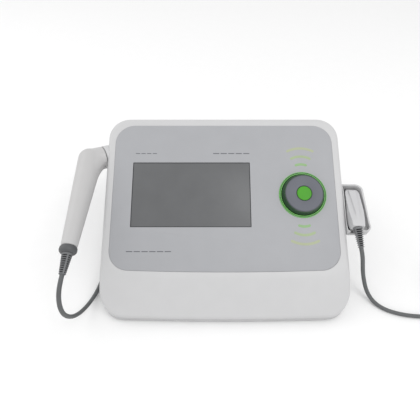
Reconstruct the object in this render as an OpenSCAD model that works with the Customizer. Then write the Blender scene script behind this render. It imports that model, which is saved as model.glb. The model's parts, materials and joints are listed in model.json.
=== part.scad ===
// Desktop ultrasound therapy device: a low wedge housing with a display and one press-and-turn dial,
// an angled handpiece in a socket in its left side and a small applicator in a cradle on its right.
// Millimetres. +Z is up and the operator sits on the -Y side.

/* [Housing] */
// Overall width of the housing
body_w = 310; // [306:1:314]
// Slope of the operating panel above the table
panel_tilt = 28; // [27:0.5:29]
// Height of the front wall's top edge above the table
front_h = 14; // [13:0.5:16]
// Radius of the four upright corners
corner_r = 28; // [24:1:32]
// Wall thickness of the two shells
wall_t = 2.6; // [2.2:0.1:3]
// How far the front edge bows out in the middle
front_bow = 2; // [1:0.5:3]
// Height of the rubber feet below the base
foot_h = 4; // [3:0.5:5]
// Height of the joint between the base tray and the cover
split_h = 10; // [9:0.5:11]

/* [Operating panel] */
// Thickness of the grey panel inlay
overlay_t = 1.2; // [0.8:0.1:1.6]
// Width of the display window
screen_w = 154; // [150:1:158]
// Height of the display window
screen_h = 86.5; // [84:0.5:88]
// Outside diameter of the green ring round the dial
ring_d = 61; // [59:0.5:63]
// Diameter of the dial at its base
dial_d = 54.4; // [53:0.2:54.6]
// Height of the dial above the panel
dial_h = 8.2; // [7.6:0.2:9]
// How far the dial pushes in
dial_travel = 0.8; // [0.5:0.1:1]

/* [Handpiece] */
// Diameter of the handle at the bend
handle_d = 31; // [29:0.5:31]
// Diameter of the handle at the collar
handle_end_d = 18.4; // [17:0.2:19]
// Length from the bend to the middle of the collar
handle_len = 131; // [128:1:134]
// Diameter of the metal treatment head
head_d = 23.4; // [22:0.2:23.4]
// Angle of the head below the panel's plane
head_dip = 27; // [26:0.5:28]

/* [Applicator] */
// Length of the applicator's body
applicator_len = 57.5; // [55:0.5:58]
// Width of the applicator at its rounded end
applicator_w = 19; // [18:0.5:19.5]
// Diameter of its metal face
applicator_face_d = 17; // [14:0.5:17]

/* [Cords] */
// Diameter of both cords
cord_d = 5; // [4.8:0.1:5]
// Mean radius of both coils
coil_r = 30; // [28:1:30]

/* [Hidden] */
$fn = 64;

// Housing
ref_z = 85;
front_y = -113;
rear_y = 118;
apron_v = -81;
ridge_r = 7;
edge_r = 5;
ridge_y = rear_y - ridge_r;
ridge_v = (ridge_y - ridge_r * sin(panel_tilt)) / cos(panel_tilt);
ridge_z = ref_z + ridge_v * sin(panel_tilt) - ridge_r * cos(panel_tilt);
body_top = ridge_z + ridge_r;

// Operating panel, in the panel's own plane
overlay_hw = 144.6;
overlay_v0 = -78;
overlay_v1 = 117;
overlay_r = 25;
screen_x = -42.7;
screen_v = 21.1;
dial_x = 101.6;
dial_v = 20.2;
under_panel = -wall_t;

// Handpiece, placed from the centre of its bend
bend_x = -178.4;
bend_v = 69.4;
bend_w = -4;
handle_rise = 18.8;
head_yaw = 24;
neck_len = 20;
neck_rim_d = 30.4;
rim_end = 18.3;
head_len = 11;
cup_mouth = 18.9;
cup_end = 42.3;
cup_r = head_d / 2 + 0.8;
cup_t = 3;
boot_len = 11;
boot_d = 19.6;
relief_len = 23;

// Cradle and applicator, placed from where the applicator's strain relief starts
cradle_tilt = 6;
app_x = 165.4;
app_y = -25.1;
app_z = 79.7;
cradle_x0 = body_w / 2 - app_x;
cradle_x1 = 21.3;
cradle_taper = 5.7;
cradle_y0 = -1.5;
cradle_y1 = 61.5;
cradle_z0 = -15;
cradle_z1 = 11;
cradle_t = 2.4;
cradle_back_t = 1.4;
cradle_screw_at = [[-8, 71.5], [26, 76], [26, 88]];
app_skew = 3;
app_relief_len = 24;
app_relief_drop = 22;

// Rear fittings
rear_panel_t = 1.6;
drawer_reach = 6.1;
inlet_x = 92;
inlet_z = 50;
rocker_x = 44;
rocker_z = 48;
rocker_travel = 18;
socket_xs = [-85, -45];
socket_z = 48;
pin_r = 1.2;

// Boards on the base
board_t = 1.6;
board_z = 13;
post_r = 3.2;

// The object's middle, which becomes the origin: halfway between the handle and the cradle,
// and between the front wall and the fuse drawer's pull
centre_x = (bend_x - handle_d / 2 + app_x + cradle_x1) / 2;
centre_y = (front_y + rear_y + drawer_reach) / 2;

// Cords: one diameter between turns
coil_h = 2 * cord_d;
coil_lift = 1;
left_coil = [-60, 240];
left_turns = 3.25;
right_coil = [318, -68];
right_turns = 3.5;
tie_w = 6;
tie_t = 1;

// Route of the handpiece's cord, from its strain relief down to the table, back along the
// housing's left side and round behind it into the coil
left_route = [
    [-178.5, -99.6, 87.4], [-178.6, -102.5, 86.6], [-179.2, -111, 82], [-179.9, -118, 74],
    [-180.4, -122.2, 64], [-180.5, -123.6, 53], [-180, -122, 42], [-178.9, -117.5, 31],
    [-177.1, -109.5, 20.5], [-174.7, -98.5, 11.8], [-171.9, -86, 5.8], [-169, -73.5, 3],
    [-166.5, -60, 2.6], [-165, -40, 2.6], [-164, -15, 2.6], [-163.5, 15, 2.6],
    [-163.5, 45, 2.6], [-163.5, 75, 2.6], [-163.5, 105, 2.6], [-163, 125, 2.6],
    [-160, 142, 2.6], [-153, 158, 2.6], [-142, 173, 2.6], [-128, 185, 2.6],
    [-111, 194, 2.8], [-93, 199, 3.2], [-76, 201.5, 3.5], [-60, 201.9, 3.5]
];
// From the coil's top layer up to the plug
left_tail = [
    [-98.1, 240, 8.5], [-97.6, 228, 8.6], [-95.6, 217, 10], [-92.8, 207, 14],
    [-89.8, 199, 20.5], [-87.4, 191.5, 29], [-85.8, 183, 37.5], [-85, 173, 44.2],
    [-85, 163, 47.4], [-85, 155.4, 48]
];
// Route of the applicator's cord, from its strain relief down to the table and away to the right
right_route = [
    [167.4, -47.4, 67.8], [167.8, -51.3, 65.5], [168.8, -54.8, 61.6], [170.4, -57, 56],
    [172.4, -58, 49.8], [174.5, -59, 43.2], [176.6, -60.9, 36.3], [178.8, -63.6, 29.4],
    [181, -67.2, 23], [183.2, -71.4, 17.2], [185.8, -76, 12], [189.1, -81, 7.7],
    [193.5, -86.6, 4.5], [199.4, -92.2, 2.9], [207, -97.2, 2.5], [218, -101.6, 2.5],
    [231, -104.6, 2.5], [245, -106.2, 2.5], [262, -106.9, 2.6], [280, -107, 2.9],
    [299, -106.9, 3.3], [318, -106.75, 3.5]
];
// From the coil's top layer down to the plug beside it
right_tail = [
    [356.75, -68, 8.5], [356.6, -56, 8.4], [356, -44, 7.2], [355, -32, 5.8], [354, -20, 5.5]
];

// ---------------------------------------------------------------- geometry helpers

function unit(v) = v / norm(v);
function left_normal(d) = [-d[1], d[0]];
function arc_points(c, r, from, to, n) =
    [for (i = [0:n]) let (a = from + (to - from) * i / n) c + r * [cos(a), sin(a)]];

// Point of the side view, [Y, Z], at v up the panel and w out of it
function on_side(v, w = 0) = [
    v * cos(panel_tilt) - w * sin(panel_tilt),
    ref_z + v * sin(panel_tilt) + w * cos(panel_tilt)
];

// Corner b of an outline, moved inwards by t from both of its edges
function inset_point(a, b, c, t) =
    let (n1 = left_normal(unit(b - a)), n2 = left_normal(unit(c - b)))
    b + t * (n1 + n2) / (1 + n1 * n2);
function inset_outline(p, t) =
    [for (i = [0:len(p) - 1])
        inset_point(p[(i + len(p) - 1) % len(p)], p[i], p[(i + 1) % len(p)], t)];

// Side view of the housing, anticlockwise from its rear bottom corner
function side_outline() = concat(
    [[rear_y, foot_h]],
    arc_points([ridge_y, ridge_z], ridge_r, 0, 90 + panel_tilt, 8),
    [on_side(apron_v), [front_y, front_h], [front_y, foot_h]]
);

// Rectangle with round corners whose lower edge bows out by bow in the middle
function slab_outline(hw, y0, y1, r, bow) = concat(
    [for (i = [-5:5]) [(hw - r) * i / 6, y0 + bow * pow(i / 6, 2)]],
    arc_points([hw - r, y0 + bow + r], r, 270, 360, 8),
    arc_points([hw - r, y1 - r], r, 0, 90, 8),
    arc_points([r - hw, y1 - r], r, 90, 180, 8),
    arc_points([r - hw, y0 + bow + r], r, 180, 270, 8)
);

// Directions and side vectors along a route, carried from point to point without twist
function direction(p, i) = unit(p[min(i + 1, len(p) - 1)] - p[max(i - 1, 0)]);
function carried(p, i, n) =
    let (d = direction(p, i), m = unit(n - (n * d) * d))
    i == len(p) - 1 ? [m] : concat([m], carried(p, i + 1, m));

module cord_tube(route, d, sides) {
    side = carried(route, 0, [0.8, 0.1, 0.6]);
    count = len(route);
    rings = [for (i = [0:count - 1], k = [0:sides - 1])
        let (s = side[i], t = cross(direction(route, i), s), a = 360 * k / sides)
        route[i] + d / 2 * (cos(a) * s + sin(a) * t)];
    walls = [for (i = [0:count - 2], k = [0:sides - 1])
        let (k2 = (k + 1) % sides)
        [i * sides + k, i * sides + k2, (i + 1) * sides + k2, (i + 1) * sides + k]];
    ends = [
        [for (k = [sides - 1:-1:0]) k],
        [for (k = [0:sides - 1]) (count - 1) * sides + k]
    ];
    polyhedron(points = rings, faces = [for (f = concat(walls, ends)) [for (q = [len(f) - 1:-1:0]) f[q]]]);
}

module place() translate([-centre_x, -centre_y, 0]) children();
module on_panel() translate([0, 0, ref_z]) rotate([panel_tilt, 0, 0]) children();
module at_dial() on_panel() translate([dial_x, dial_v, 0]) children();
module at_bend() on_panel() translate([bend_x, bend_v, bend_w]) children();
module at_handle() at_bend() rotate([90 - handle_rise, 0, 0]) children();
module at_head() at_bend() rotate([0, 90 + head_dip, head_yaw]) children();
module at_cradle() translate([app_x, app_y, app_z]) rotate([cradle_tilt, 0, 0]) children();
module at_applicator() at_cradle() rotate([0, 0, -app_skew]) children();
module at_app_relief() at_cradle() rotate([90 + app_relief_drop, 0, 5]) children();
module to_rear() translate([0, rear_y, 0]) rotate([-90, 0, 0]) children();
module along_x(w) rotate([90, 0, 90]) linear_extrude(w, center = true) children();

module block(size, at) translate(at - size / 2) cube(size);
module disc(r, z0, z1) translate([0, 0, z0]) cylinder(r = r, h = z1 - z0);
module cone(r0, r1, z0, z1) translate([0, 0, z0]) cylinder(r1 = r0, r2 = r1, h = z1 - z0);
module tube(r_out, r_in, z0, z1) difference() {
    disc(r_out, z0, z1);
    disc(r_in, z0 - 1, z1 + 1);
}
module round_rect(w, h, r) {
    square([w - 2 * r, h], center = true);
    square([w, h - 2 * r], center = true);
    for (x = [-1, 1], y = [-1, 1]) translate([x * (w / 2 - r), y * (h / 2 - r)]) circle(r);
}
module screw(head_r, head_h, r, length) {
    disc(r, -length, 0.01);
    difference() {
        disc(head_r, 0, head_h);
        for (a = [0, 90]) rotate(a) block([head_r * 1.2, 0.9, 1.2], [0, 0, head_h]);
    }
}

// ---------------------------------------------------------------- housing

module housing_solid(t) {
    intersection() {
        along_x(body_w + 20) polygon(inset_outline(side_outline(), t));
        linear_extrude(200) polygon(slab_outline(body_w / 2 - t, front_y + t, rear_y - t, corner_r - t, front_bow));
        on_panel() rotate([90, 0, 0]) linear_extrude(400, center = true)
            polygon(concat(
                [[-body_w / 2 + t, -200], [body_w / 2 - t, -200]],
                arc_points([body_w / 2 - edge_r, -edge_r], edge_r - t, 0, 90, 5),
                arc_points([edge_r - body_w / 2, -edge_r], edge_r - t, 90, 180, 5)
            ));
    }
}

case_screw_at = [[-125, -88], [125, -88], [-138, 106], [138, 106]];

module upper_cover() place() color([0.93, 0.93, 0.93]) difference() {
    union() {
        difference() {
            housing_solid(0);
            housing_solid(wall_t);
        }
        intersection() {
            housing_solid(wall_t / 2);
            for (p = case_screw_at) translate([p[0], p[1], split_h]) cylinder(r = 4.5, h = 150);
        }
    }
    block([body_w + 40, 300, 40], [0, 0, split_h - 20]);
    on_panel() translate([0, 0, -overlay_t]) linear_extrude(20)
        polygon(slab_outline(overlay_hw + 0.15, overlay_v0 - 0.15, overlay_v1 + 0.15, overlay_r, front_bow));
    on_panel() block([screen_w + 6, screen_h + 6, 20], [screen_x, screen_v, 0]);
    at_dial() disc(3.9, -10, 10);
    at_head() disc(cup_r + cup_t + 0.15, cup_mouth - 3, cup_end + 0.2);
    to_rear() translate([0, -55, 0]) linear_extrude(30, center = true) round_rect(240, 56, 4);
    to_rear() translate([0, -55, -rear_panel_t]) linear_extrude(5) round_rect(256.4, 72.4, 4);
    for (x = [-123, 123], z = [25, 85]) translate([x, rear_y, z]) rotate([90, 0, 0]) disc(1.3, -1, 12);
    for (p = case_screw_at) translate([p[0], p[1], 0]) disc(1.4, 0, 24);
    for (p = cradle_screw_at) translate([body_w / 2, p[0], p[1]]) rotate([0, 90, 0]) disc(1.7, -8, 4);
}

vent_xs = [for (i = [-6:6]) i * 9];
foot_at = [for (x = [-112, 112], y = [-78, 92]) [x, y]];

module base_tray() place() color([0.88, 0.88, 0.88]) difference() {
    union() {
        intersection() {
            difference() {
                housing_solid(0);
                housing_solid(wall_t);
            }
            block([body_w + 40, 300, 40], [0, 0, split_h - 20.2]);
        }
        for (p = board_posts()) translate([p[0], p[1], foot_h + 1]) cylinder(r = post_r, h = board_z - foot_h - 1);
        for (p = case_screw_at) translate([p[0], p[1], foot_h + 1]) cylinder(r = 7, h = split_h - foot_h - 1.2);
    }
    for (p = board_posts()) translate([p[0], p[1], 0]) disc(1.1, foot_h + 2, 30);
    for (p = case_screw_at) translate([p[0], p[1], 0]) {
        disc(2, 0, 30);
        disc(4, 0, foot_h + 3);
    }
    for (x = vent_xs, y = [-20, 60]) block([3.4, 46, 20], [x, y, 0]);
    for (p = foot_at) translate([p[0], p[1], 0]) disc(2.2, 0, foot_h + 1.5);
}

module rubber_feet() place() color([0.2, 0.2, 0.2])
    for (p = foot_at) translate([p[0], p[1], 0]) {
        cone(8, 9, 0, foot_h);
        disc(2.2, foot_h - 0.5, foot_h + 1.5);
    }

module case_screws() place() color([0.6, 0.6, 0.62])
    for (p = case_screw_at) translate([p[0], p[1], foot_h + 3]) rotate([180, 0, 0]) screw(3.6, 2.4, 1.4, 15);

// ---------------------------------------------------------------- operating panel

module panel_overlay() place() color([0.68, 0.69, 0.71]) on_panel() difference() {
    translate([0, 0, -overlay_t]) linear_extrude(overlay_t)
        polygon(slab_outline(overlay_hw, overlay_v0, overlay_v1, overlay_r, front_bow));
    block([screen_w + 0.2, screen_h + 0.2, 10], [screen_x, screen_v, 0]);
    translate([dial_x, dial_v, 0]) disc(ring_d / 2 + 0.05, -5, 5);
}

module screen_window() place() color([0.38, 0.38, 0.39])
    on_panel() block([screen_w, screen_h, 1.6], [screen_x, screen_v, -0.9]);

module lcd_module() place() color([0.25, 0.26, 0.28]) on_panel() {
    block([screen_w + 4, screen_h + 4, 5], [screen_x, screen_v, -4.3]);
    block([screen_w - 6, screen_h - 6, 0.6], [screen_x, screen_v, -7.1]);
}

module lcd_bracket() place() color([0.7, 0.71, 0.72]) on_panel() difference() {
    block([screen_w + 20, screen_h + 20, 1.2], [screen_x, screen_v, -8]);
    block([screen_w - 20, screen_h - 20, 5], [screen_x, screen_v, -8]);
    for (x = [-1, 1], y = [-1, 1])
        translate([screen_x + x * (screen_w / 2 + 6), screen_v + y * (screen_h / 2 + 6), 0]) disc(1.6, -10, -5);
}

module display_board() place() color([0.1, 0.4, 0.22]) on_panel() {
    block([110, 60, board_t], [screen_x, screen_v, -10.5]);
    block([18, 18, 1.6], [screen_x - 20, screen_v, -12.1]);
    block([28, 6, 4], [screen_x + 25, screen_v - 18, -13.3]);
}

module display_ribbon() place() color([0.85, 0.85, 0.82]) translate([screen_x + 25, 0, 0]) along_x(24)
    polygon(concat(
        [on_side(4, -15.3), on_side(4, -22), [-8, 40], [-14, 26], [-14, board_top + 8]],
        [[-13.3, board_top + 8], [-13.3, 26.2], [-7.3, 40.2], on_side(4.7, -22), on_side(4.7, -15.3)]
    ));

module dial_ring() place() color([0.4, 0.75, 0.3]) at_dial() difference() {
    disc(ring_d / 2, -overlay_t, 1.2);
    disc(dial_d / 2 + 0.5, -3, 3);
    tube(ring_d / 2 - 0.9, ring_d / 2 - 1.5, 0.7, 3);
}

module dial_body() place() color([0.1, 0.2, 0.12]) at_dial() difference() {
    union() {
        disc(dial_d / 2, 0.5, 2.5);
        cone(dial_d / 2, dial_d / 2 - 2.4, 2.5, dial_h - 0.8);
    }
    difference() {
        disc(dial_d / 2 - 4.4, 0, dial_h - 3);
        disc(6.4, 3.8, dial_h);
    }
    disc(3.02, 0, dial_h - 2.4);
}

module dial_face() place() color([0.48, 0.49, 0.52]) at_dial() difference() {
    disc(24.4, dial_h - 0.8, dial_h);
    disc(9.9, 0, dial_h + 5);
}

module dial_cap() place() color([0.38, 0.7, 0.25]) at_dial() disc(9.3, dial_h - 0.8, dial_h + 0.2);

module encoder_body() place() color([0.62, 0.62, 0.64]) at_dial() difference() {
    union() {
        block([13, 13, 9.2], [0, 0, under_panel - 4.7]);
        disc(3.6, under_panel - 0.2, 2.4);
    }
    disc(3.05, -6.4, 5);
    disc(4.6, -10.4, -6);
}

module encoder_nut() place() color([0.75, 0.75, 0.77]) at_dial() difference() {
    translate([0, 0, -overlay_t + 0.02]) cylinder(r = 6, h = 2.2, $fn = 6);
    disc(3.64, -3, 3);
}

module encoder_plunger() place() color([0.8, 0.8, 0.78]) at_dial() disc(4.2, -9.1, -6.9);

module encoder_shaft() place() color([0.8, 0.8, 0.82]) at_dial() disc(3, -6.6, dial_h - 2.5);

module panel_board() place() color([0.1, 0.4, 0.22]) at_dial() {
    block([56, 70, board_t], [0, 0, -12.9]);
    block([8, 14, 5], [-18, -20, -16.2]);
}

// ---------------------------------------------------------------- electronics on the base

function corners(x, y, w, d) = [for (i = [-1, 1], j = [-1, 1]) [x + i * (w / 2 - 5), y + j * (d / 2 - 5)]];
board_top = board_z + board_t;
main_box = [-8, 0, 126, 104];
driver_box = [-108, 22, 62, 110];
supply_box = [102, 22, 66, 120];
function board_posts() = concat(
    corners(main_box[0], main_box[1], main_box[2], main_box[3]),
    corners(driver_box[0], driver_box[1], driver_box[2], driver_box[3]),
    corners(supply_box[0], supply_box[1], supply_box[2], supply_box[3])
);

module board(box) difference() {
    block([box[2], box[3], board_t], [box[0], box[1], board_z + board_t / 2]);
    for (p = corners(box[0], box[1], box[2], box[3])) translate([p[0], p[1], 0]) disc(1.6, 0, 40);
}

module main_board() place() color([0.1, 0.4, 0.22]) {
    board(main_box);
    block([20, 20, 2], [-30, 10, board_top + 1]);
    block([14, 10, 2], [5, 25, board_top + 1]);
    block([28, 7, 8], [screen_x + 25, -13.6, board_top + 4]);
    for (x = [20:9:38]) translate([x, -25, board_top]) cylinder(r = 3.2, h = 9);
    block([10, 30, 9], [-62, 20, board_top + 4.5]);
    block([10, 26, 9], [44, 20, board_top + 4.5]);
}

module buzzer() place() color([0.15, 0.15, 0.16]) translate([15, -5, board_top]) difference() {
    cylinder(r = 6, h = 8);
    disc(1.2, 6, 12);
}

module driver_board() place() color([0.1, 0.4, 0.22]) {
    board(driver_box);
    for (y = [10, 34]) translate([-122, y, board_top]) tube(9, 4.5, 0, 9);
    block([18, 26, 12], [-98, 60, board_top + 6]);
    for (y = [-16, -4]) translate([-88, y, board_top]) cylinder(r = 4, h = 12);
}

module driver_heat_sink() place() color([0.75, 0.76, 0.78]) translate([-96, 22, board_top]) {
    block([26, 44, 3], [0, 0, 1.5]);
    for (x = [-11:5.5:11]) block([1.6, 44, 22], [x, 0, 14]);
}

module power_supply() place() color([0.12, 0.38, 0.2]) {
    board(supply_box);
    block([34, 30, 28], [102, 20, board_top + 14]);
    block([26, 14, 18], [102, 52, board_top + 9]);
    for (x = [84, 104]) translate([x, -14, board_top]) cylinder(r = 8, h = 24);
    block([8, 24, 12], [76, 40, board_top + 6]);
}

module board_screws() place() color([0.7, 0.7, 0.72])
    for (p = board_posts()) translate([p[0], p[1], board_top]) screw(2.6, 1.6, 1.1, 7);

module mains_harness() place() color([0.5, 0.32, 0.12]) {
    for (k = [0:2]) cord_tube([
        [inlet_x - 7 + 7 * k, 95, inlet_z + 3], [inlet_x - 7 + 7 * k, 90, inlet_z + 2.5],
        [90 + 6 * k, 82, inlet_z - 4], [95 + 6 * k, 75, board_top + 22],
        [96 + 6 * k, 68, board_top + 10], [96 + 6 * k, 68, board_top + 0.3]
    ], 2.2, 6);
    for (k = [0:1]) cord_tube([
        [rocker_x - 3 + 6 * k, 99, rocker_z], [rocker_x - 3 + 6 * k, 93, rocker_z - 0.5],
        [52 + 5 * k, 82, rocker_z - 3], [68 + 4 * k, 66, rocker_z - 7],
        [76 + 3 * k, 50, board_top + 20], [76 + 3 * k, 50, board_top + 12.3]
    ], 2.2, 6);
}

module output_harness() place() color([0.35, 0.35, 0.37])
    for (k = [0:1]) cord_tube([
        [socket_xs[k], 100, socket_z], [socket_xs[k], 94, socket_z - 0.5],
        [-86 + 22 * k, 84, socket_z - 5], [-96 + 12 * k, 71, board_top + 25],
        [-101 + 8 * k, 62, board_top + 19], [-101 + 8 * k, 62, board_top + 12.3]
    ], 3.2, 8);

// ---------------------------------------------------------------- rear

inlet_w = 28;
inlet_d = 24;

module rear_panel() place() color([0.8, 0.8, 0.81]) difference() {
    to_rear() translate([0, -55, -rear_panel_t]) linear_extrude(rear_panel_t) round_rect(256, 72, 4);
    block([inlet_w + 0.2, 20, 36.2], [inlet_x, rear_y, inlet_z]);
    block([15.2, 20, 21.2], [rocker_x, rear_y, rocker_z]);
    for (x = socket_xs) translate([x, rear_y, socket_z]) rotate([90, 0, 0]) disc(6.55, -5, 5);
    for (x = [-123, 123], z = [25, 85]) translate([x, rear_y, z]) rotate([90, 0, 0]) disc(1.7, -5, 5);
    for (x = [-18:6:18]) block([2.6, 10, 36], [x, rear_y, 55]);
}

module rear_panel_screws() place() color([0.7, 0.7, 0.72])
    for (x = [-123, 123], z = [25, 85])
        translate([x, rear_y, z]) rotate([-90, 0, 0]) screw(3, 1.8, 1.3, 9);

module mains_inlet() place() color([0.12, 0.12, 0.13]) translate([inlet_x, rear_y, inlet_z]) {
    difference() {
        union() {
            block([inlet_w, inlet_d, 36], [0, -inlet_d / 2 + 1, 0]);
            block([50, 2.5, 38], [0, 1.25, 0]);
        }
        block([24.4, 30, 16.6], [0, 0, 7]);
        block([22, 44, 7], [0, 3, -12]);
        for (x = [-20.5, 20.5]) translate([x, 0, 0]) rotate([90, 0, 0]) disc(1.7, -5, 5);
    }
    for (p = [[-7, 4], [0, 9.5], [7, 4]]) block([2, 17, 4], [p[0], -8, p[1]]);
}

module fuse_drawer() place() color([0.16, 0.16, 0.17]) translate([inlet_x, rear_y, inlet_z - 12]) {
    difference() {
        block([21.2, 21, 6.2], [0, -7.6, 0]);
        for (x = [-5, 5]) translate([x, -8, 1]) rotate([90, 0, 0]) disc(2.6, -8, 8);
    }
    block([21.2, 2, 6.2], [0, 3.9, 0]);
    block([8, 1.4, 1.4], [0, drawer_reach - 0.7, 0]);
}

module rocker_frame() place() color([0.12, 0.12, 0.13]) translate([rocker_x, rear_y, rocker_z]) difference() {
    union() {
        block([15, 20, 21], [0, -9, 0]);
        block([18, 2, 24], [0, 1, 0]);
    }
    block([11.8, 16, 18], [0, -4, 0]);
    translate([0, -3, 0]) rotate([0, 90, 0]) disc(pin_r + 0.05, -7, 7);
}

module power_rocker() place() color([0.2, 0.2, 0.21]) translate([rocker_x, rear_y - 3, rocker_z])
    rotate([-rocker_travel / 2, 0, 0]) {
        difference() {
            block([11, 9.4, 16], [0, 1.5, 0]);
            translate([0, 7.6, 9.2]) rotate([-rocker_travel, 0, 0]) block([14, 4, 20], [0, 1, -1]);
            translate([0, 7.6, -9.2]) rotate([rocker_travel, 0, 0]) block([14, 4, 20], [0, 1, 1]);
        }
        rotate([0, 90, 0]) disc(pin_r, -6.8, 6.8);
    }

module output_sockets() place() color([0.72, 0.72, 0.74])
    for (x = socket_xs) translate([x, rear_y, socket_z]) rotate([-90, 0, 0]) {
        difference() {
            union() {
                disc(9, 0, 3);
                disc(6.5, -18, 0.1);
            }
            disc(4.7, -10, 5);
        }
        for (a = [45:90:315]) rotate(a) translate([2.9, 0, 0]) disc(0.6, -11, -3);
    }

module socket_nuts() place() color([0.75, 0.75, 0.77])
    for (x = socket_xs) translate([x, rear_y - rear_panel_t, socket_z]) rotate([90, 0, 0]) difference() {
        cylinder(r = 9.6, h = 3, $fn = 6);
        disc(6.56, -1, 5);
    }

// ---------------------------------------------------------------- handpiece

module holder_cup() place() color([0.9, 0.9, 0.9]) at_head() difference() {
    disc(cup_r + cup_t, cup_mouth, cup_end);
    disc(cup_r, 0, cup_end - 2.3);
}

module handpiece_body(t) {
    at_handle() cone(handle_d / 2 - t, handle_end_d / 2 - t, 0, handle_len - boot_len / 2 - t);
    at_bend() sphere(handle_d / 2 - t);
    at_head() cone(neck_rim_d / 2 - 0.8 - t, neck_rim_d / 2 - t, 0, rim_end - t);
    at_head() disc(head_d / 2 + 0.2 - t, 10, neck_len - t);
}

module handpiece_half(up) at_handle() translate([0, up * 100, 50]) cube([200, 200, 300], center = true);

module handpiece_shell() difference() {
    handpiece_body(0);
    handpiece_body(2);
    at_head() disc(head_d / 2 - 2.4, 5, 60);
    at_handle() disc(4, 100, 160);
}

module handpiece_upper_shell() place() color([0.9, 0.9, 0.9]) intersection() {
    handpiece_shell();
    handpiece_half(1);
}

module handpiece_lower_shell() place() color([0.88, 0.88, 0.88]) intersection() {
    handpiece_shell();
    handpiece_half(-1);
}

module treatment_head() place() color([0.75, 0.76, 0.77]) at_head() difference() {
    union() {
        disc(head_d / 2, neck_len + 0.05, neck_len + head_len);
        disc(head_d / 2 - 2.5, neck_len - 6, neck_len + 0.1);
    }
    disc(head_d / 2 - 4, neck_len - 8, neck_len + head_len - 1.5);
}

module handpiece_crystal() place() color([0.85, 0.75, 0.5]) at_head()
    disc(head_d / 2 - 4.3, neck_len + head_len - 2.9, neck_len + head_len - 1.5);

module handpiece_board() place() color([0.1, 0.4, 0.22]) at_handle() {
    block([12, board_t, 56], [0, 0, 52]);
    block([7, 5, 10], [0, 3.2, 40]);
    block([5, 3, 6], [0, 2.2, 62]);
}

boot_z0 = handle_len - boot_len / 2;

module handpiece_boot() place() color([0.55, 0.55, 0.56]) at_handle() difference() {
    union() {
        disc(boot_d / 2, boot_z0 + 1.5, boot_z0 + boot_len - 1.5);
        cone(boot_d / 2 - 1.2, boot_d / 2, boot_z0, boot_z0 + 1.5);
        cone(boot_d / 2, boot_d / 2 - 2, boot_z0 + boot_len - 1.5, boot_z0 + boot_len);
    }
    disc(3, 0, 200);
}

relief_slots = 9;

module ribbed_relief(r0, r1, r_bore, length) difference() {
    cone(r0, r1, 0, length);
    disc(r_bore, -1, length + 1);
    for (i = [0:relief_slots - 1]) let (z = length * (i + 0.9) / (relief_slots + 0.6))
        for (s = [-1, 1]) block([r0 * 1.2, r0 * 3, 0.9], [s * (r0 * 0.6 + 1.2), 0, z]);
}

module handpiece_strain_relief() place() color([0.32, 0.32, 0.33])
    at_handle() translate([0, 0, boot_z0 + boot_len]) ribbed_relief(5.9, 3.8, 2.6, relief_len);

// ---------------------------------------------------------------- cradle and applicator

module cradle_outside() intersection() {
    translate([0, 0, cradle_z0]) linear_extrude(cradle_z1 - cradle_z0) polygon(concat(
        [[cradle_x0, cradle_y0]],
        arc_points([cradle_x1 - 8, cradle_y0 + 8], 8, 270, 360, 6),
        arc_points([cradle_x1 - cradle_taper - 10, cradle_y1 - 10], 10, 0, 90, 6),
        [[cradle_x0, cradle_y1]]
    ));
    along_x(100) polygon([
        [cradle_y0 - 1, cradle_z0 - 1], [cradle_y1 + 1, cradle_z0 - 1], [cradle_y1 + 1, cradle_z1],
        [cradle_y1 - 9, cradle_z1], [cradle_y0 + 12, -4.5], [cradle_y0 - 1, -6.5]
    ]);
}

module side_cradle() place() color([0.92, 0.92, 0.92]) difference() {
    at_cradle() difference() {
        cradle_outside();
        translate([0, 0, cradle_z0 + cradle_t]) linear_extrude(60) polygon(concat(
            [[cradle_x0 + cradle_back_t, cradle_y0 + cradle_t]],
            arc_points([cradle_x1 - 8, cradle_y0 + 8], 8 - cradle_t, 270, 360, 6),
            arc_points([cradle_x1 - cradle_taper - 10, cradle_y1 - 10], 10 - cradle_t, 0, 90, 6),
            [[cradle_x0 + cradle_back_t, cradle_y1 - cradle_t]]
        ));
        block([14, 10, 40], [0.5, cradle_y0, 9]);
    }
    for (p = cradle_screw_at) translate([body_w / 2, p[0], p[1]]) rotate([0, 90, 0]) disc(1.5, -1, 5);
}

module cradle_screws() place() color([0.7, 0.7, 0.72])
    for (p = cradle_screw_at) translate([body_w / 2 - wall_t, p[0], p[1]]) rotate([0, -90, 0])
        screw(3, 1.8, 1.5, wall_t + cradle_back_t);

// Side and plan of the applicator's body, from its strain relief back to its round end
module applicator_solid(t) intersection() {
    translate([0, 0, -20]) linear_extrude(40) polygon(concat(
        [[-6.4 + t, t], [6.4 - t, t], [applicator_w / 2 - t, 24]],
        arc_points([0, applicator_len - applicator_w / 2], applicator_w / 2 - t, 0, 180, 12),
        [[-applicator_w / 2 + t, 24]]
    ));
    along_x(60) polygon(concat(
        [[t, -5 + t], [12, -8.6 + t], [applicator_len - 8, -8.6 + t]],
        arc_points([applicator_len - 8, 1.4], 8 - t, 0, 90, 6),
        [[20, 9.4 - t], [t, 6 - t]]
    ));
}

module applicator_shell(up) at_applicator() intersection() {
    difference() {
        applicator_solid(0);
        applicator_solid(1.8);
        translate([0, applicator_len - 16, 0]) disc(applicator_face_d / 2 - 1, -12, 0);
        translate([0, 10, 0]) rotate([90, 0, 0]) disc(3.2, 0, 30);
    }
    block([60, 120, 40], [0, 26, up * 20]);
}

module applicator_upper_shell() place() color([0.9, 0.9, 0.9]) applicator_shell(1);
module applicator_lower_shell() place() color([0.86, 0.86, 0.86]) applicator_shell(-1);

module applicator_head() place() color([0.75, 0.76, 0.77]) at_applicator() translate([0, applicator_len - 16, 0])
    difference() {
        union() {
            disc(applicator_face_d / 2, -11, -8.65);
            disc(applicator_face_d / 2 - 1.1, -8.7, -4.5);
        }
        disc(applicator_face_d / 2 - 2.2, -9.6, 0);
    }

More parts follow.
